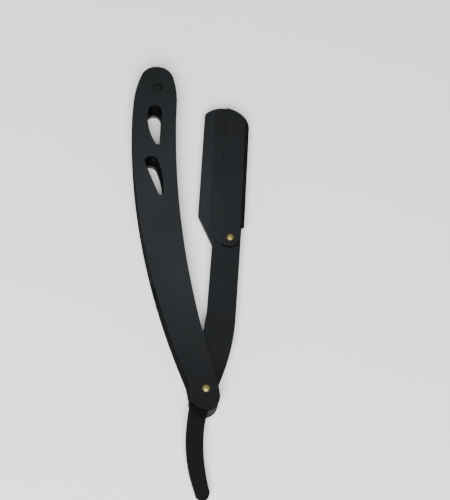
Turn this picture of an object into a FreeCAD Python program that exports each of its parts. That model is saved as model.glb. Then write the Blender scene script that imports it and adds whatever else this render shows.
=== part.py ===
import FreeCAD, Part
import math
import os
import Sketcher

# Straight razor with a swing lock for half blades, built as an assembly.
# Frame: origin on the pivot axis in the plane the razor rests on, +Z out of the
# front scale, +Y along the blade's cutting edge, +X towards the blade's spine.

os.makedirs("parts", exist_ok=True)
doc = FreeCAD.newDocument("straight_razor")

# ---------------------------------------------------------------- dimensions
# Thicknesses, radii and levels, in millimetres.
LENGTHS = {
    # handle
    "scale_thick": 1.8,
    "slot_gap": 5.4,
    "front_scale_base": 7.2,
    "handle_back_rad": 275.0,
    "handle_front_rad": 344.0,
    "handle_end_rad": 5.2,
    "free_front_rad": 40.0,
    "free_tip_rad": 6.4,
    "free_back_rad": 44.5,
    "slot_back_rad": 273.2,
    "slot_shoulder_rad": 42.7,
    "slot_tip_rad": 4.6,
    "sink_size": 0.58,
    # teardrop windows
    "upper_head_rad": 2.62,
    "upper_back_rad": 24.0,
    "upper_front_rad": 200.0,
    "lower_head_rad": 2.55,
    "lower_back_rad": 600.0,
    "lower_front_rad": 29.0,
    "tear_tip_rad": 0.95,
    # arm and blade head
    "arm_thick": 1.6,
    "arm_base": 3.7,
    "head_top_rad": 10.4,
    "head_corner_rad": 2.2,
    "shank_front_rad": 75.0,
    "neck_rad": 34.0,
    "tail_front_rad": 61.0,
    "tail_tip_rad": 3.0,
    "tail_back_rad": 53.0,
    "tail_root_rad": 80.0,
    "bevel_bottom": 61.5,
    "bevel_length": 56.0,
    "seat_depth": 0.12,
    "stud_rad": 0.9,
    # lock leaf
    "leaf_thick": 0.6,
    "leaf_rear_level": 3.0,
    "leaf_front_level": 5.4,
    "leaf_bottom": 66.2,
    "leaf_length": 51.5,
    "fold_rad": 1.5,
    "fold_inner_rad": 0.9,
    "tab_rad": 4.15,
    # pins, collars and washers
    "pin_rad": 1.2,
    "head_dome_rad": 2.3525,
    "end_pin_rad": 1.0,
    "end_dome_rad": 4.55,
    "fit_gap": 0.02,
    "run_gap": 0.04,
    "lock_gap": 0.05,
    "spacer_rad": 3.5,
    "spacer_high": 5.38,
    "spacer_level": 1.81,
    "collar_rad": 4.0,
    "collar_thick": 1.46,
    "rear_collar_level": 1.81,
    "front_collar_level": 5.73,
    "washer_rad": 3.6,
    "washer_thick": 0.36,
    "rear_washer_level": 3.31,
    "front_washer_level": 5.33,
    "bush_rad": 1.8,
    "bush_high": 1.56,
    "bush_level": 3.72,
    "spring_rad": 2.1,
    "spring_thick": 0.24,
    "spring_level": 2.73,
}

# Corners and tangent points of the outlines.
POINTS = {
    # handle, seen from the front
    "back_top": (-34.0, 112.5),
    "back_low": (-6.4, 2.6),
    "end_back": (-5.25, -2.0),
    "end_low": (-0.1, -7.6),
    "end_front": (5.0, -2.3),
    "front_low": (4.1, 2.0),
    "front_top": (-17.55, 112.5),
    "tip_front": (-19.6, 125.6),
    "tip_back": (-31.8, 126.2),
    # slot between the scales, open along the front and round the pivot
    "slot_tip": (-21.3, 124.3),
    "slot_shoulder": (-30.28, 125.72),
    "slot_back_top": (-32.2, 112.5),
    "slot_back_low": (-18.81, 38.0),
    "slot_out_back": (-26.0, 40.6),
    "slot_out_low": (-14.0, -14.0),
    "slot_out_pivot": (14.0, -14.0),
    "slot_out_front": (14.0, 124.3),
    # teardrop windows
    "upper_left": (-28.2, 110.3),
    "upper_right": (-23.0, 110.4),
    "upper_tip_right": (-22.75, 95.7),
    "upper_tip_left": (-24.25, 95.6),
    "lower_left": (-27.9, 87.7),
    "lower_right": (-23.0, 88.5),
    "lower_tip_right": (-19.95, 74.5),
    "lower_tip_left": (-21.7, 74.3),
    # pin centres
    "end_pin": (-25.2, 120.8),
    "lock": (5.7, 60.8),
    "stud_low": (2.8, 75.5),
    "stud_high": (2.8, 105.9),
    # arm, seen from the front
    "edge_top": (-6.4, 112.9),
    "corner_top": (-5.6, 114.53),
    "spine_top": (9.4, 112.33),
    "spine_low": (9.4, 66.6),
    "shank_top": (9.7, 64.6),
    "shank_low": (9.2, 29.0),
    "neck_top": (5.6, 6.4),
    "neck_low": (1.75, -5.4),
    "tail_front": (0.42, -15.5),
    "tail_front_end": (3.55, -35.0),
    "tail_tip": (1.6, -38.1),
    "tail_back_end": (-1.4, -35.5),
    "tail_back": (-5.57, -14.5),
    "root_back": (-4.6, -2.0),
    "waist": (-1.7, 24.3),
    "shank_back": (-1.0, 31.5),
    "shank_corner": (-0.65, 57.4),
    "shoulder": (-6.4, 69.0),
    # ground bevel beside the cutting edge, in section
    "bevel_top": (-2.3, 1.6),
    "bevel_out_top": (-7.4, 1.6),
    "bevel_out": (-7.4, 0.67),
    # blade seat
    "seat_low_back": (-8.0, 69.1),
    "seat_low_front": (4.3, 69.1),
    "seat_high_front": (4.3, 112.3),
    "seat_high_back": (-8.0, 112.3),
    # folded leaf, in section
    "front_lip_out": (1.65, 6.0),
    "front_fold_out": (9.25, 6.0),
    "fold_out": (10.75, 4.5),
    "rear_fold_out": (9.25, 3.0),
    "rear_lip_out": (-4.9, 3.0),
    "rear_lip_in": (-4.9, 3.6),
    "rear_fold_in": (9.25, 3.6),
    "fold_in": (10.15, 4.5),
    "front_fold_in": (9.25, 5.4),
    "front_lip_in": (1.65, 5.4),
    # leaf seen from the front: rounded top, trimmed rear corner, round tab
    "cap_left": (-7.0, 113.22),
    "cap_right": (10.95, 108.88),
    "cap_out_right": (10.95, 119.0),
    "cap_out_left": (-7.0, 119.0),
    "trim_high": (-5.06, 69.9),
    "trim_low": (-3.06, 65.8),
    "trim_out": (-5.06, 65.8),
    "tab_top_left": (1.65, 73.4),
    "tab_shoulder": (1.05, 72.4),
    "tab_left": (1.05, 61.2),
    "tab_right": (9.35, 61.2),
    "tab_low": (5.2, 57.05),
    "tab_step": (9.35, 63.9),
    "tab_top_right": (9.2, 67.0),
    # half sections of the turned pins: radius and level
    "pivot_tail_axis": (0.0, 0.0),
    "pivot_tail": (1.76, 0.0),
    "pivot_tail_neck": (1.2, 0.56),
    "pivot_neck": (1.2, 9.02),
    "pivot_head": (1.45, 9.02),
    "pivot_crown": (0.0, 9.52),
    "end_tail_axis": (0.0, 0.0),
    "end_tail": (1.56, 0.0),
    "end_tail_neck": (1.0, 0.56),
    "end_neck": (1.0, 9.02),
    "end_head": (1.75, 9.02),
    "end_crown": (0.0, 9.37),
    "lock_tail_axis": (0.0, 2.3),
    "lock_tail": (1.45, 2.3),
    "lock_tail_top": (1.45, 2.71),
    "lock_tail_neck": (1.2, 2.71),
    "lock_neck": (1.2, 6.02),
    "lock_head": (1.45, 6.02),
    "lock_crown": (0.0, 6.52),
}

sheet = doc.addObject("Spreadsheet::Sheet", "Dims")
table = dict(LENGTHS)
for point_name, (along, across) in POINTS.items():
    table[point_name + "_x"] = along
    table[point_name + "_y"] = across
for row, (name, value) in enumerate(table.items(), start=1):
    sheet.set("A%d" % row, name)
    sheet.set("B%d" % row, repr(value))
    sheet.setAlias("B%d" % row, name)
doc.recompute()


# ------------------------------------------------------------------- helpers
def val(name):
    return float(sheet.get(name))


def total(expression):
    """Value of a sum of sheet cells, such as 'Dims.pin_rad + Dims.fit_gap'."""
    return sum(val(term.strip()[len("Dims."):]) for term in expression.split("+"))


def pt(name):
    return FreeCAD.Vector(val(name + "_x"), val(name + "_y"), 0)


def new_body(node):
    body = doc.addObject("PartDesign::Body", node)
    body.Label = node
    return body


def new_sketch(body, name, role="XY_Plane", offset=None):
    sketch = body.newObject("Sketcher::SketchObject", name)
    plane = next(item for item in body.Origin.OriginFeatures if item.Role == role)
    sketch.AttachmentSupport = [(plane, "")]
    sketch.MapMode = "FlatFace"
    if offset:
        sketch.setExpression("AttachmentOffset.Base.z", offset)
    return sketch


def bound(sketch, expression, *terms):
    """Add a dimensional constraint and tie it to the sheet."""
    index = sketch.addConstraint(Sketcher.Constraint(*terms))
    sketch.setExpression("Constraints[%d]" % index, expression)


def fix_point(sketch, geo, place_on_geo, name):
    spot = pt(name)
    bound(sketch, "Dims.%s_x" % name, "DistanceX", geo, place_on_geo, spot.x)
    bound(sketch, "Dims.%s_y" % name, "DistanceY", geo, place_on_geo, spot.y)


def arc_between(a, b, radius, side):
    """Minor arc from a to b, bulging to the left of that way when side is 1."""
    chord = b - a
    left = FreeCAD.Vector(-chord.y, chord.x, 0).normalize()
    centre = (a + b) * 0.5 - left * (side * math.sqrt(radius ** 2 - chord.Length ** 2 / 4))
    first, last = (b, a) if side > 0 else (a, b)
    circle = Part.Circle(centre, FreeCAD.Vector(0, 0, 1), radius)
    begin = math.atan2(first.y - centre.y, first.x - centre.x)
    finish = math.atan2(last.y - centre.y, last.x - centre.x)
    return Part.ArcOfCircle(circle, begin, finish)


def outline(sketch, path):
    """Closed outline from [(point, way on)]: the way on is None for a straight side,
    or (radius cell, side) for an arc that bulges left (1) or right (-1) of the way."""
    runs = []
    for i, (start, way) in enumerate(path):
        a = pt(start)
        b = pt(path[(i + 1) % len(path)][0])
        if way is None:
            runs.append((sketch.addGeometry(Part.LineSegment(a, b), False), 1, 2))
            continue
        cell, side = way
        geo = sketch.addGeometry(arc_between(a, b, val(cell), side), False)
        runs.append((geo, 2, 1) if side > 0 else (geo, 1, 2))
        bound(sketch, "Dims." + cell, "Radius", geo, val(cell))
    for i, (start, way) in enumerate(path):
        before, before_tail = runs[i - 1][0], runs[i - 1][2]
        geo, head = runs[i][0], runs[i][1]
        sketch.addConstraint(Sketcher.Constraint("Coincident", before, before_tail, geo, head))
        fix_point(sketch, geo, head, start)


def circle_at(sketch, radius, centre=None):
    """Circle on a named point, or on the sketch's origin."""
    spot = pt(centre) if centre else FreeCAD.Vector(0, 0, 0)
    circle = Part.Circle(spot, FreeCAD.Vector(0, 0, 1), total(radius))
    geo = sketch.addGeometry(circle, False)
    bound(sketch, radius, "Radius", geo, total(radius))
    if centre:
        fix_point(sketch, geo, 3, centre)
    else:
        sketch.addConstraint(Sketcher.Constraint("Coincident", geo, 3, -1, 1))


def pad(body, sketch, length, reverse=False):
    feature = body.newObject("PartDesign::Pad", sketch.Name + "_pad")
    feature.Profile = sketch
    feature.Reversed = reverse
    feature.setExpression("Length", length)
    doc.recompute()


def pocket(body, sketch, length=None, reverse=False):
    """Pocket to a depth, or right through when no depth is given."""
    before = body.Shape.Volume
    feature = body.newObject("PartDesign::Pocket", sketch.Name + "_pocket")
    feature.Profile = sketch
    feature.Reversed = reverse
    if length:
        feature.setExpression("Length", length)
    else:
        feature.Type = "ThroughAll"
        feature.Midplane = True
    doc.recompute()
    if body.Shape.Volume > before - 1e-4:
        raise ValueError(sketch.Name + " removes nothing")


def countersink(body, size):
    """Chamfer the rims of the round holes in the body's bottom face."""
    rims = []
    for i, edge in enumerate(body.Shape.Edges, start=1):
        if len(edge.Vertexes) < 2 and abs(edge.BoundBox.ZMax) < 1e-4:
            rims.append("Edge%d" % i)
    base = body.Tip
    feature = body.newObject("PartDesign::Chamfer", body.Name + "_sinks")
    feature.Base = (base, rims)
    feature.setExpression("Size", size)
    doc.recompute()


def place(item, level, centre=None):
    item.setExpression("Placement.Base.z", level)
    if centre:
        item.setExpression("Placement.Base.x", "Dims.%s_x" % centre)
        item.setExpression("Placement.Base.y", "Dims.%s_y" % centre)


def ring(node, outer, inner, height, level, centre=None):
    """Collar, washer, bush or tube: a cylinder less its bore."""
    solids = []
    for suffix, radius in (("_blank", outer), ("_bore", inner)):
        solid = doc.addObject("Part::Cylinder", node + suffix)
        solid.setExpression("Radius", radius)
        solid.setExpression("Height", height)
        solids.append(solid)
    cut = doc.addObject("Part::Cut", node)
    cut.Label = node
    cut.Base, cut.Tool = solids
    place(cut, level, centre)
    return cut


def turned_pin(node, corners, dome, centre=None):
    """Pin turned about its own axis; the last corner is the crown of its domed head."""
    body = new_body(node)
    sketch = new_sketch(body, node + "_section", "XZ_Plane")
    path = [(name, None) for name in corners]
    path[-2] = (corners[-2], (dome, 1 if pt(corners[-2]).y > pt(corners[-1]).y else -1))
    outline(sketch, path)
    turn = body.newObject("PartDesign::Revolution", node + "_turn")
    turn.Profile = sketch
    turn.ReferenceAxis = (sketch, ["V_Axis"])
    turn.Angle = 360.0
    doc.recompute()
    if centre:
        body.setExpression("Placement.Base.x", "Dims.%s_x" % centre)
        body.setExpression("Placement.Base.y", "Dims.%s_y" % centre)
    return body


# -------------------------------------------------------------------- handle
HANDLE = [
    ("back_top", ("handle_back_rad", -1)),
    ("back_low", None),
    ("end_back", ("handle_end_rad", -1)),
    ("end_low", ("handle_end_rad", -1)),
    ("end_front", None),
    ("front_low", ("handle_front_rad", 1)),
    ("front_top", ("free_front_rad", -1)),
    ("tip_front", ("free_tip_rad", -1)),
    ("tip_back", ("free_back_rad", -1)),
]
SLOT = [
    ("slot_tip", ("slot_tip_rad", -1)),
    ("slot_shoulder", ("slot_shoulder_rad", -1)),
    ("slot_back_top", ("slot_back_rad", -1)),
    ("slot_back_low", None),
    ("slot_out_back", None),
    ("slot_out_low", None),
    ("slot_out_pivot", None),
    ("slot_out_front", None),
]


def scale(node, thickness):
    """Handle scale: the outline padded, with its windows and pin holes."""
    body = new_body(node)
    shape = new_sketch(body, node + "_outline")
    outline(shape, HANDLE)
    pad(body, shape, thickness)
    for which in ("upper", "lower"):
        window = new_sketch(body, node + "_" + which + "_window")
        outline(window, [
            (which + "_left", (which + "_back_rad", -1)),
            (which + "_tip_left", ("tear_tip_rad", -1)),
            (which + "_tip_right", (which + "_front_rad", -1)),
            (which + "_right", (which + "_head_rad", -1)),
        ])
        pocket(body, window)
    holes = new_sketch(body, node + "_pin_holes")
    circle_at(holes, "Dims.pin_rad + Dims.fit_gap")
    circle_at(holes, "Dims.end_pin_rad + Dims.fit_gap", "end_pin")
    pocket(body, holes)
    return body


front_scale = scale("front_scale", "Dims.scale_thick")
place(front_scale, "Dims.front_scale_base")

rear_scale = scale("rear_scale", "Dims.front_scale_base")
slot = new_sketch(rear_scale, "rear_scale_slot", "XY_Plane", "Dims.front_scale_base")
outline(slot, SLOT)
pocket(rear_scale, slot, "Dims.slot_gap")
countersink(rear_scale, "Dims.sink_size")

end_spacer = ring("end_spacer", "Dims.spacer_rad", "Dims.end_pin_rad + Dims.fit_gap",
                  "Dims.spacer_high", "Dims.spacer_level", "end_pin")
end_pin = turned_pin("end_pin", ["end_tail_axis", "end_tail", "end_tail_neck", "end_neck",
                                 "end_head", "end_crown"], "end_dome_rad", "end_pin")

# --------------------------------------------------------------------- pivot
pivot_pin = turned_pin("pivot_pin", ["pivot_tail_axis", "pivot_tail", "pivot_tail_neck",
                                     "pivot_neck", "pivot_head", "pivot_crown"], "head_dome_rad")
PIVOT_BORE = "Dims.pin_rad + Dims.run_gap"
rear_collar = ring("rear_collar", "Dims.collar_rad", PIVOT_BORE,
                   "Dims.collar_thick", "Dims.rear_collar_level")
front_collar = ring("front_collar", "Dims.collar_rad", PIVOT_BORE,
                    "Dims.collar_thick", "Dims.front_collar_level")
rear_washer = ring("rear_washer", "Dims.washer_rad", PIVOT_BORE,
                   "Dims.washer_thick", "Dims.rear_washer_level")
front_washer = ring("front_washer", "Dims.washer_rad", PIVOT_BORE,
                    "Dims.washer_thick", "Dims.front_washer_level")
pivot_bush = ring("pivot_bush", "Dims.bush_rad", PIVOT_BORE,
                  "Dims.bush_high", "Dims.bush_level")

# ----------------------------------------------------------------------- arm
ARM = [
    ("edge_top", ("head_corner_rad", 1)),
    ("corner_top", ("head_top_rad", 1)),
    ("spine_top", None),
    ("spine_low", None),
    ("shank_top", None),
    ("shank_low", ("shank_front_rad", 1)),
    ("neck_top", None),
    ("neck_low", ("neck_rad", -1)),
    ("tail_front", ("tail_front_rad", -1)),
    ("tail_front_end", ("tail_tip_rad", 1)),
    ("tail_tip", ("tail_tip_rad", 1)),
    ("tail_back_end", ("tail_back_rad", 1)),
    ("tail_back", ("tail_root_rad", 1)),
    ("root_back", None),
    ("waist", None),
    ("shank_back", None),
    ("shank_corner", None),
    ("shoulder", None),
]

blade_arm = new_body("blade_arm")
arm_outline = new_sketch(blade_arm, "arm_outline")
outline(arm_outline, ARM)
pad(blade_arm, arm_outline, "Dims.arm_thick")
bevel = new_sketch(blade_arm, "edge_bevel", "XZ_Plane", "-Dims.bevel_bottom")
outline(bevel, [("bevel_top", None), ("bevel_out_top", None), ("bevel_out", None)])
pocket(blade_arm, bevel, "Dims.bevel_length")
seat = new_sketch(blade_arm, "blade_seat")
outline(seat, [("seat_low_back", None), ("seat_low_front", None),
               ("seat_high_front", None), ("seat_high_back", None)])
pocket(blade_arm, seat, "Dims.seat_depth", True)
arm_holes = new_sketch(blade_arm, "arm_holes")
circle_at(arm_holes, "Dims.bush_rad + Dims.fit_gap")
circle_at(arm_holes, "Dims.pin_rad + Dims.fit_gap", "lock")
for stud in ("stud_low", "stud_high"):
    circle_at(arm_holes, "Dims.stud_rad + Dims.fit_gap", stud)
pocket(blade_arm, arm_holes)
place(blade_arm, "Dims.arm_base")

studs = []
for stud in ("stud_low", "stud_high"):
    solid = doc.addObject("Part::Cylinder", stud)
    solid.setExpression("Radius", "Dims.stud_rad")
    solid.setExpression("Height", "Dims.arm_thick")
    place(solid, "Dims.arm_base", stud)
    studs.append(solid)
blade_studs = doc.addObject("Part::MultiFuse", "blade_studs")
blade_studs.Label = "blade_studs"
blade_studs.Shapes = studs

# ----------------------------------------------------------------- lock leaf
lock_leaf = new_body("lock_leaf")
fold = new_sketch(lock_leaf, "leaf_fold", "XZ_Plane", "-Dims.leaf_bottom")
outline(fold, [
    ("front_lip_out", None),
    ("front_fold_out", ("fold_rad", 1)),
    ("fold_out", ("fold_rad", 1)),
    ("rear_fold_out", None),
    ("rear_lip_out", None),
    ("rear_lip_in", None),
    ("rear_fold_in", ("fold_inner_rad", -1)),
    ("fold_in", ("fold_inner_rad", -1)),
    ("front_fold_in", None),
    ("front_lip_in", None),
])
pad(lock_leaf, fold, "Dims.leaf_length", True)
cap = new_sketch(lock_leaf, "leaf_cap")
outline(cap, [("cap_left", ("head_top_rad", 1)), ("cap_right", None),
              ("cap_out_right", None), ("cap_out_left", None)])
pocket(lock_leaf, cap)
trim = new_sketch(lock_leaf, "leaf_trim")
outline(trim, [("trim_high", None), ("trim_low", None), ("trim_out", None)])
pocket(lock_leaf, trim)
for label, level in (("rear_tab", "leaf_rear_level"), ("front_tab", "leaf_front_level")):
    tab = new_sketch(lock_leaf, label, "XY_Plane", "Dims." + level)
    outline(tab, [
        ("tab_top_left", None),
        ("tab_shoulder", None),
        ("tab_left", ("tab_rad", -1)),
        ("tab_low", ("tab_rad", -1)),
        ("tab_right", None),
        ("tab_step", None),
        ("tab_top_right", None),
    ])
    pad(lock_leaf, tab, "Dims.leaf_thick")
lock_hole = new_sketch(lock_leaf, "lock_hole")
circle_at(lock_hole, "Dims.pin_rad + Dims.lock_gap", "lock")
pocket(lock_leaf, lock_hole)

lock_rivet = turned_pin("lock_rivet", ["lock_tail_axis", "lock_tail", "lock_tail_top",
                                       "lock_tail_neck", "lock_neck", "lock_head",
                                       "lock_crown"], "head_dome_rad", "lock")
lock_spring = ring("lock_spring", "Dims.spring_rad", "Dims.pin_rad + Dims.fit_gap",
                   "Dims.spring_thick", "Dims.spring_level", "lock")

# -------------------------------------------------------------------- export
doc.recompute()
for item in doc.Objects:
    if "Invalid" in item.State or "Error" in item.State:
        raise ValueError(item.Label + " did not compute")

NODES = [
    front_scale, rear_scale, end_spacer, end_pin, pivot_pin, rear_collar, front_collar,
    rear_washer, front_washer, pivot_bush, blade_arm, blade_studs, lock_leaf, lock_rivet,
    lock_spring,
]
for node in NODES:
    if node.Shape.isNull() or not node.Shape.isValid():
        raise ValueError(node.Label + " has no valid shape")
    node.Shape.exportStep("parts/%s.step" % node.Label)
    print(node.Label, round(node.Shape.Volume, 2))
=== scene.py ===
import math
import bpy
from mathutils import Matrix, Vector

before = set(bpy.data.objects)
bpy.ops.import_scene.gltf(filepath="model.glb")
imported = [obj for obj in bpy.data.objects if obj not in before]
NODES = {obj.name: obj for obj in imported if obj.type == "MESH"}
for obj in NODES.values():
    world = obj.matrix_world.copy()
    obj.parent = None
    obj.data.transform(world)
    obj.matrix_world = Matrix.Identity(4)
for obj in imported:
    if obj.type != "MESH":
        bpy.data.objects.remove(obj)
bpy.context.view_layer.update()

MM = 0.001

# coat tints, darkest first: the coat's own mottle, painted light on hidden faces and cut
# edges, and its rubbed rims
DARK, LIGHT = (0.0024, 0.0027, 0.0033), (0.0044, 0.0048, 0.0056)
# painted light on the rear scale's cut edges towards the pivot
PAINTED_SIDE_LIGHT = (0.0075, 0.0080, 0.0088)
# painted light on the rear scale's inner face inside the open gap
PAINTED_GAP_LIGHT = (0.0085, 0.0090, 0.0100)
RUBBED = (0.012, 0.0125, 0.0135)
# painted light on the rear scale's pivot end
PAINTED_END_LIGHT = (0.036, 0.037, 0.040)
# painted light on cut edges: the arm's shoulder, the leaf's lip (a painted highlight) and the
# rear scale's window mouths
PAINTED_SHOULDER_LIGHT = (0.075, 0.077, 0.080)
PAINTED_LIP_HIGHLIGHT = (0.085, 0.088, 0.094)
PAINTED_MOUTH_LIGHT = (0.10, 0.102, 0.106)

# geometry that the painted light and the rubbed rims follow, in millimetres
REAR_INNER_LEVEL = 1.8
# reach from the pivot of the open gap between the scales
OPEN_GAP_REACH = 41
PIVOT_END_REACH = 9.5
RIM_WIDTH = 0.35


# ------------------------------------------------------------------ node tools
class Shader:
    """A material's node tree with a Principled BSDF and short ways to wire it."""

    def __init__(self, name):
        self.material = bpy.data.materials.new(name)
        self.material.use_nodes = True
        self.tree = self.material.node_tree
        self.bsdf = self.tree.nodes["Principled BSDF"]
        self.where = self.add("ShaderNodeTexCoord").outputs["Object"]

    def add(self, kind, **settings):
        node = self.tree.nodes.new(kind)
        for key, value in settings.items():
            setattr(node, key, value)
        return node

    def link(self, source, target):
        self.tree.links.new(source, target)

    def noise(self, scale, detail=4.0, rough=0.55, stretch=(1, 1, 1)):
        spread = self.add("ShaderNodeMapping")
        spread.inputs["Scale"].default_value = stretch
        self.link(self.where, spread.inputs["Vector"])
        node = self.add("ShaderNodeTexNoise")
        node.inputs["Scale"].default_value = scale
        node.inputs["Detail"].default_value = detail
        node.inputs["Roughness"].default_value = rough
        self.link(spread.outputs["Vector"], node.inputs["Vector"])
        return node.outputs["Fac"]

    def remap(self, source, low, high, to_low, to_high):
        node = self.add("ShaderNodeMapRange")
        for name, value in (("From Min", low), ("From Max", high),
                            ("To Min", to_low), ("To Max", to_high)):
            node.inputs[name].default_value = value
        self.link(source, node.inputs["Value"])
        return node.outputs["Result"]

    def math(self, operation, a, b):
        node = self.add("ShaderNodeMath", operation=operation)
        for socket, value in zip(node.inputs, (a, b)):
            if isinstance(value, (int, float)):
                socket.default_value = value
            else:
                self.link(value, socket)
        return node.outputs["Value"]

    def mix(self, factor, a, b):
        node = self.add("ShaderNodeMix", data_type="RGBA")
        sockets = {s.name: s for s in node.inputs if s.enabled}
        if isinstance(factor, (int, float)):
            sockets["Factor"].default_value = factor
        else:
            self.link(factor, sockets["Factor"])
        for name, value in (("A", a), ("B", b)):
            if isinstance(value, tuple):
                sockets[name].default_value = value + (1.0,)
            else:
                self.link(value, sockets[name])
        return next(s for s in node.outputs if s.enabled)

    def edges(self, radius):
        """Mask that is 1 on rims and corners and 0 on flat faces."""
        rounded = self.add("ShaderNodeBevel", samples=6)
        rounded.inputs["Radius"].default_value = radius
        flat = self.add("ShaderNodeNewGeometry")
        dot = self.add("ShaderNodeVectorMath", operation="DOT_PRODUCT")
        self.link(rounded.outputs["Normal"], dot.inputs[0])
        self.link(flat.outputs["Normal"], dot.inputs[1])
        return self.remap(dot.outputs["Value"], 0.99, 0.86, 0.0, 1.0)

    def walls(self, flat=0.97, steep=0.75):
        """Mask that is 1 on upright cut edges and 0 on faces that lie flat."""
        split = self.add("ShaderNodeSeparateXYZ")
        self.link(self.add("ShaderNodeTexCoord").outputs["Normal"], split.inputs["Vector"])
        upright = self.math("ABSOLUTE", split.outputs["Z"], 0.0)
        return self.remap(upright, flat, steep, 0.0, 0.97)

    def axis(self, name):
        split = self.add("ShaderNodeSeparateXYZ")
        self.link(self.where, split.inputs["Vector"])
        return split.outputs[name]

    def ramp(self, axis, start, full):
        """Mask that runs from 0 at start to 1 at full (millimetres) along an axis."""
        return self.remap(self.axis(axis), start * MM, full * MM, 0.0, 1.0)

    def both(self, a, b):
        return self.math("MULTIPLY", a, b)

    def swept(self, reach, soft):
        """Mask that is 1 within a reach (millimetres) of the pivot axis."""
        flat = self.add("ShaderNodeVectorMath", operation="MULTIPLY")
        flat.inputs[1].default_value = (1, 1, 0)
        self.link(self.where, flat.inputs[0])
        size = self.add("ShaderNodeVectorMath", operation="LENGTH")
        self.link(flat.outputs["Vector"], size.inputs[0])
        return self.remap(size.outputs["Value"], reach * MM, (reach - soft) * MM, 0.0, 1.0)

    def inner_face(self):
        """Mask that is 1 at the level of the rear scale's inner face."""
        off = self.math("SUBTRACT", self.axis("Z"), REAR_INNER_LEVEL * MM)
        off = self.math("ABSOLUTE", off, 0.0)
        return self.remap(off, 0.5 * MM, 0.2 * MM, 0.0, 1.0)

    def dull(self, mask, tint):
        """Blend towards a flat, sheenless coat where the mask is 1."""
        flat = self.add("ShaderNodeBsdfDiffuse")
        self.link(tint, flat.inputs["Color"])
        blend = self.add("ShaderNodeMixShader")
        self.link(mask, blend.inputs["Fac"])
        self.link(self.bsdf.outputs["BSDF"], blend.inputs[1])
        self.link(flat.outputs["BSDF"], blend.inputs[2])
        surface = self.tree.nodes["Material Output"].inputs["Surface"]
        self.link(blend.outputs["Shader"], surface)

    def bump(self, *layers):
        """Stack of (height, strength, depth in metres) bumps."""
        normal = None
        for height, strength, depth in layers:
            node = self.add("ShaderNodeBump")
            node.inputs["Strength"].default_value = strength
            node.inputs["Distance"].default_value = depth
            self.link(height, node.inputs["Height"])
            if normal:
                self.link(normal, node.inputs["Normal"])
            normal = node.outputs["Normal"]
        self.link(normal, self.bsdf.inputs["Normal"])


def coated(name, seed, sheen=0.3, grain=0.21, rim=(0.97, 0.75), painted_light=None):
    """Black coat on steel: mottled tint, orange-peel grain, rims rubbed paler. The
    upright cut edges carry a sheenless coat; the function passed in returns the tint of
    the faces and the tint of the cut edges, with light painted into them."""
    s = Shader(name)
    cloud = s.noise(70.0 + seed, 5.0, 0.6)
    speck = s.noise(2600.0 + seed, 2.0, 0.6)
    smear = s.noise(34.0 + seed, 3.0, 0.5, (1.0, 0.35, 1.0))
    tint = s.mix(s.remap(cloud, 0.3, 0.7, 0.0, 1.0), DARK, LIGHT)
    tint = s.mix(s.remap(speck, 0.52, 0.8, 0.0, 0.35), tint, LIGHT)
    edge_tint = tint
    # painted light: the rear scale, arm and leaf get light painted into these tints
    if painted_light:
        tint, edge_tint = painted_light(s, tint)
    patchy = s.remap(s.noise(420.0, 3.0), 0.35, 0.65, 0.25, 1.0)
    rub = s.both(s.edges(RIM_WIDTH * MM), patchy)
    s.link(s.mix(rub, tint, RUBBED), s.bsdf.inputs["Base Color"])
    gloss = s.remap(smear, 0.3, 0.7, 0.275, 0.345)
    gloss = s.math("ADD", gloss, s.remap(speck, 0.3, 0.7, -0.02, 0.02))
    gloss = s.math("SUBTRACT", gloss, s.math("MULTIPLY", rub, 0.03))
    s.link(gloss, s.bsdf.inputs["Roughness"])
    s.bump((s.noise(1500.0 + seed, 3.0, 0.6), grain, 0.03 * MM),
           (speck, grain * 0.7, 0.012 * MM))
    s.bsdf.inputs["Specular IOR Level"].default_value = sheen
    s.dull(s.walls(*rim), edge_tint)
    return s.material


def rear_painted_light(s, tint):
    """Rear scale: light painted on its inner face inside the open gap, on its pivot end,
    on its cut edges towards the pivot and in the mouths of the windows."""
    # painted light on the inner face inside the open gap and on the pivot end
    tint = s.mix(s.both(s.swept(OPEN_GAP_REACH, 6), s.inner_face()), tint, PAINTED_GAP_LIGHT)
    tint = s.mix(s.both(s.swept(PIVOT_END_REACH, 2), s.ramp("Y", -1.5, -4.5)), tint, PAINTED_END_LIGHT)
    # painted light on the cut edges towards the pivot
    side_light = s.math("MULTIPLY", s.ramp("Y", 78, 60), 0.6)
    edge_tint = s.mix(side_light, tint, PAINTED_SIDE_LIGHT)
    mouth = s.both(s.ramp("X", -29.3, -28.6), s.ramp("X", -19.0, -19.6))
    mouth = s.both(mouth, s.ramp("Y", 71, 72))
    mouth = s.both(mouth, s.ramp("Z", 2.2, 0.6))
    return tint, s.mix(mouth, edge_tint, PAINTED_MOUTH_LIGHT)


def arm_painted_light(s, tint):
    """Arm: painted light on the cut edge of the shoulder below the blade, pale as if lit from
    the floor.
    """
    band = s.both(s.ramp("Y", 56.5, 58.0), s.ramp("Y", 70.0, 68.8))
    return tint, s.mix(s.both(band, s.ramp("X", 0.5, -0.3)), tint, PAINTED_SHOULDER_LIGHT)


def leaf_painted_light(s, tint):
    """Leaf: a painted highlight on the cut edge of its front lip, towards the tab."""
    lip = s.both(s.ramp("X", 2.4, 2.0), s.ramp("Y", 94.0, 84.0))
    return tint, s.mix(lip, tint, PAINTED_LIP_HIGHLIGHT)


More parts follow.
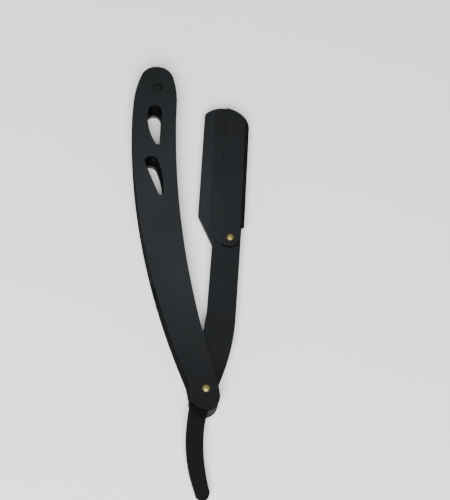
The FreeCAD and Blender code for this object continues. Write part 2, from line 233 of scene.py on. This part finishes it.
def metal(name, tint, shade, rough, line=(1, 1, 1), scratches=0.2, painted_shade=False):
    """Bare metal: tarnish clouds, hairlines and paler rims. On request, a painted shade
    darkens and dulls steep faces.
    """
    s = Shader(name)
    cloud = s.noise(420.0, 4.0, 0.6)
    hair = s.noise(2400.0, 3.0, 0.6, line)
    base = s.mix(s.remap(cloud, 0.35, 0.7, 0.0, 1.0), tint, shade)
    base = s.mix(s.math("MULTIPLY", s.edges(0.15 * MM), 0.5), base, tint)
    if painted_shade:
        # painted shade: the steep rim of each dome is dark and dull, in place of a highlight
        rim_shade = s.mix(s.remap(cloud, 0.3, 0.7, 0.0, 1.0),
                     (0.030, 0.022, 0.010), (0.060, 0.046, 0.020))
        s.dull(s.walls(0.94, 0.84), rim_shade)
    s.link(base, s.bsdf.inputs["Base Color"])
    s.link(s.math("ADD", s.remap(cloud, 0.3, 0.7, rough - 0.05, rough + 0.08),
                  s.remap(hair, 0.3, 0.7, -0.04, 0.04)), s.bsdf.inputs["Roughness"])
    s.bump((hair, scratches, 0.01 * MM))
    s.bsdf.inputs["Metallic"].default_value = 1.0
    return s.material


COAT_FRONT = coated("black_coat_front_scale", 0.0)
# the rear scale, arm and leaf coats take painted light into their tints
COAT_REAR = coated("black_coat_rear_scale", 5.0, painted_light=rear_painted_light)
COAT_ARM = coated("black_coat_arm", 7.0, sheen=0.22, painted_light=arm_painted_light)
COAT_LEAF = coated("black_coat_leaf", 13.0, sheen=0.22, painted_light=leaf_painted_light)
COAT_PIN = coated("black_pin", 19.0, grain=0.15, rim=(0.985, 0.925))
# brass domes carry a painted shade round their rims
BRASS = metal("brass_rivet", (0.50, 0.41, 0.165), (0.33, 0.27, 0.105), 0.44, painted_shade=True)
WASHER = metal("brass_washer", (0.74, 0.56, 0.30), (0.50, 0.37, 0.18), 0.38,
               line=(1, 1, 6), scratches=0.3)
STEEL = metal("bare_steel", (0.52, 0.53, 0.55), (0.36, 0.37, 0.39), 0.34,
              line=(1, 1, 8), scratches=0.3)

# node: material and rim radius in millimetres
FINISH = {
    "front_scale": (COAT_FRONT, 0.40),
    "rear_scale": (COAT_REAR, 0.40),
    "end_spacer": (STEEL, 0.10),
    "end_pin": (COAT_PIN, 0.05),
    "pivot_pin": (BRASS, 0.0),
    "rear_collar": (COAT_PIN, 0.12),
    "front_collar": (COAT_PIN, 0.12),
    "rear_washer": (WASHER, 0.05),
    "front_washer": (WASHER, 0.05),
    "pivot_bush": (WASHER, 0.05),
    "blade_arm": (COAT_ARM, 0.22),
    "blade_studs": (STEEL, 0.05),
    "lock_leaf": (COAT_LEAF, 0.14),
    "lock_rivet": (BRASS, 0.0),
    "lock_spring": (STEEL, 0.04),
}


def finish_node(name, material, rim):
    """Give a CAD node its material and a rounded rim (in millimetres)."""
    node = NODES[name]
    node.data.materials.clear()
    node.data.materials.append(material)
    if rim:
        bevel = node.modifiers.new("rim", "BEVEL")
        bevel.width = rim * MM
        bevel.segments = 3
        bevel.limit_method = "ANGLE"
        bevel.angle_limit = math.radians(40)
        bevel.use_clamp_overlap = False
        bevel.harden_normals = False
        bevel.miter_outer = "MITER_ARC"


for node_name, (node_material, node_rim) in FINISH.items():
    finish_node(node_name, node_material, node_rim)


# ------------------------------------------------------------- floor and light
def floor():
    bpy.ops.mesh.primitive_plane_add(size=6.0, location=(0, 0, -0.0002))
    plane = bpy.context.object
    plane.name = "floor"
    s = Shader("pale_floor")
    tone = s.remap(s.noise(2.0, 3.0), 0.3, 0.7, 0.0, 1.0)
    s.link(s.mix(tone, (0.90, 0.90, 0.905), (0.93, 0.93, 0.93)), s.bsdf.inputs["Base Color"])
    s.link(s.remap(s.noise(60.0), 0.3, 0.7, 0.72, 0.80), s.bsdf.inputs["Roughness"])
    s.bump((s.noise(300.0), 0.03, 0.02 * MM))
    s.bsdf.inputs["Specular IOR Level"].default_value = 0.15
    plane.data.materials.append(s.material)
    return plane


def softbox(name, spot, aim, size, power, colour=(1.0, 1.0, 1.0)):
    data = bpy.data.lights.new(name, "AREA")
    data.shape = "RECTANGLE"
    data.size, data.size_y = size
    data.energy = power
    data.color = colour
    lamp = bpy.data.objects.new(name, data)
    lamp.location = spot
    lamp.rotation_euler = (Vector(aim) - Vector(spot)).to_track_quat("-Z", "Y").to_euler()
    bpy.context.collection.objects.link(lamp)
    return lamp


def studio_world(horizon, zenith):
    """Bright round the horizon and dark overhead, like a tent with an open top."""
    world = bpy.data.worlds.new("studio")
    world.use_nodes = True
    bpy.context.scene.world = world
    tree = world.node_tree
    place = tree.nodes.new("ShaderNodeTexCoord")
    split = tree.nodes.new("ShaderNodeSeparateXYZ")
    tree.links.new(place.outputs["Generated"], split.inputs["Vector"])
    height = tree.nodes.new("ShaderNodeMapRange")
    height.interpolation_type = "SMOOTHSTEP"
    for name, value in (("From Min", 0.25), ("From Max", 0.62),
                        ("To Min", horizon), ("To Max", zenith)):
        height.inputs[name].default_value = value
    tree.links.new(split.outputs["Z"], height.inputs["Value"])
    tree.links.new(height.outputs["Result"], tree.nodes["Background"].inputs["Strength"])
    tree.nodes["Background"].inputs["Color"].default_value = (0.97, 0.985, 1.0, 1.0)


# ---------------------------------------------------------------------- camera
TILT = math.radians(28.4)       # off the vertical
TURN = math.radians(-12.0)      # sideways
DISTANCE = 487 * MM
FOCAL = 1328 / 500              # in picture heights
YAW = math.radians(2.84)        # the cutting edge against the picture's upright
BEVEL_LEAN = math.radians(10.3)  # of the head's ground flank
CENTRE = Matrix.Rotation(YAW, 3, "Z") @ Vector((7.45, 58.18, 0)) * MM


def add_camera():
    back = Vector((math.sin(TILT) * math.sin(TURN), -math.sin(TILT) * math.cos(TURN),
                   math.cos(TILT)))
    up = (Vector((0, 1, 0)) - back * back.y).normalized()
    right = up.cross(back)
    basis = Matrix.Rotation(YAW, 3, "Z") @ Matrix((right, up, back)).transposed()
    data = bpy.data.cameras.new("camera")
    data.sensor_width = 36.0
    data.lens = 36.0 * FOCAL
    data.clip_start = 0.01
    camera = bpy.data.objects.new("camera", data)
    spot = CENTRE + (basis @ Vector((0, 0, 1))) * DISTANCE
    camera.matrix_world = Matrix.Translation(spot) @ basis.to_4x4()
    bpy.context.collection.objects.link(camera)
    bpy.context.scene.camera = camera
    return basis                # its columns are the camera's right, up and back axes


VIEW = add_camera()
floor()
studio_world(0.55, 0.10)
back_axis = VIEW @ Vector((0, 0, 1))


def mirrored(lean_left):
    """Where a face leaning to the left by an angle sends the camera's line of sight."""
    normal = Vector((-math.sin(lean_left), 0, math.cos(lean_left)))
    return (2 * normal * normal.dot(back_axis) - back_axis).normalized()


AIM = CENTRE + Vector((0, 0.012, 0.006))
FRONT = Matrix.Rotation(math.radians(12), 3, "X") @ back_axis
FRONT_AWAY, FRONT_SIZE = 1.1, (0.70, 0.70)
KEY_AIM = CENTRE + Vector((-0.033, 0.020, 0.006))
KEY_AWAY, KEY_SIZE = 1.0, (0.12, 0.12)
COOL = (0.86, 0.95, 1.0)
# wide softbox beside the camera: it whitens the floor, also through the windows
softbox("front", AIM + FRONT * FRONT_AWAY, AIM, FRONT_SIZE, 32.0)
# softboxes that the flat faces and the head's leaning flank mirror towards the camera
for lamp_name, lean, watts in (("key", 0.0, 0.43), ("flank", BEVEL_LEAN, 0.62)):
    lamp_spot = KEY_AIM + mirrored(lean) * KEY_AWAY
    softbox(lamp_name, lamp_spot, KEY_AIM, KEY_SIZE, watts, COOL)
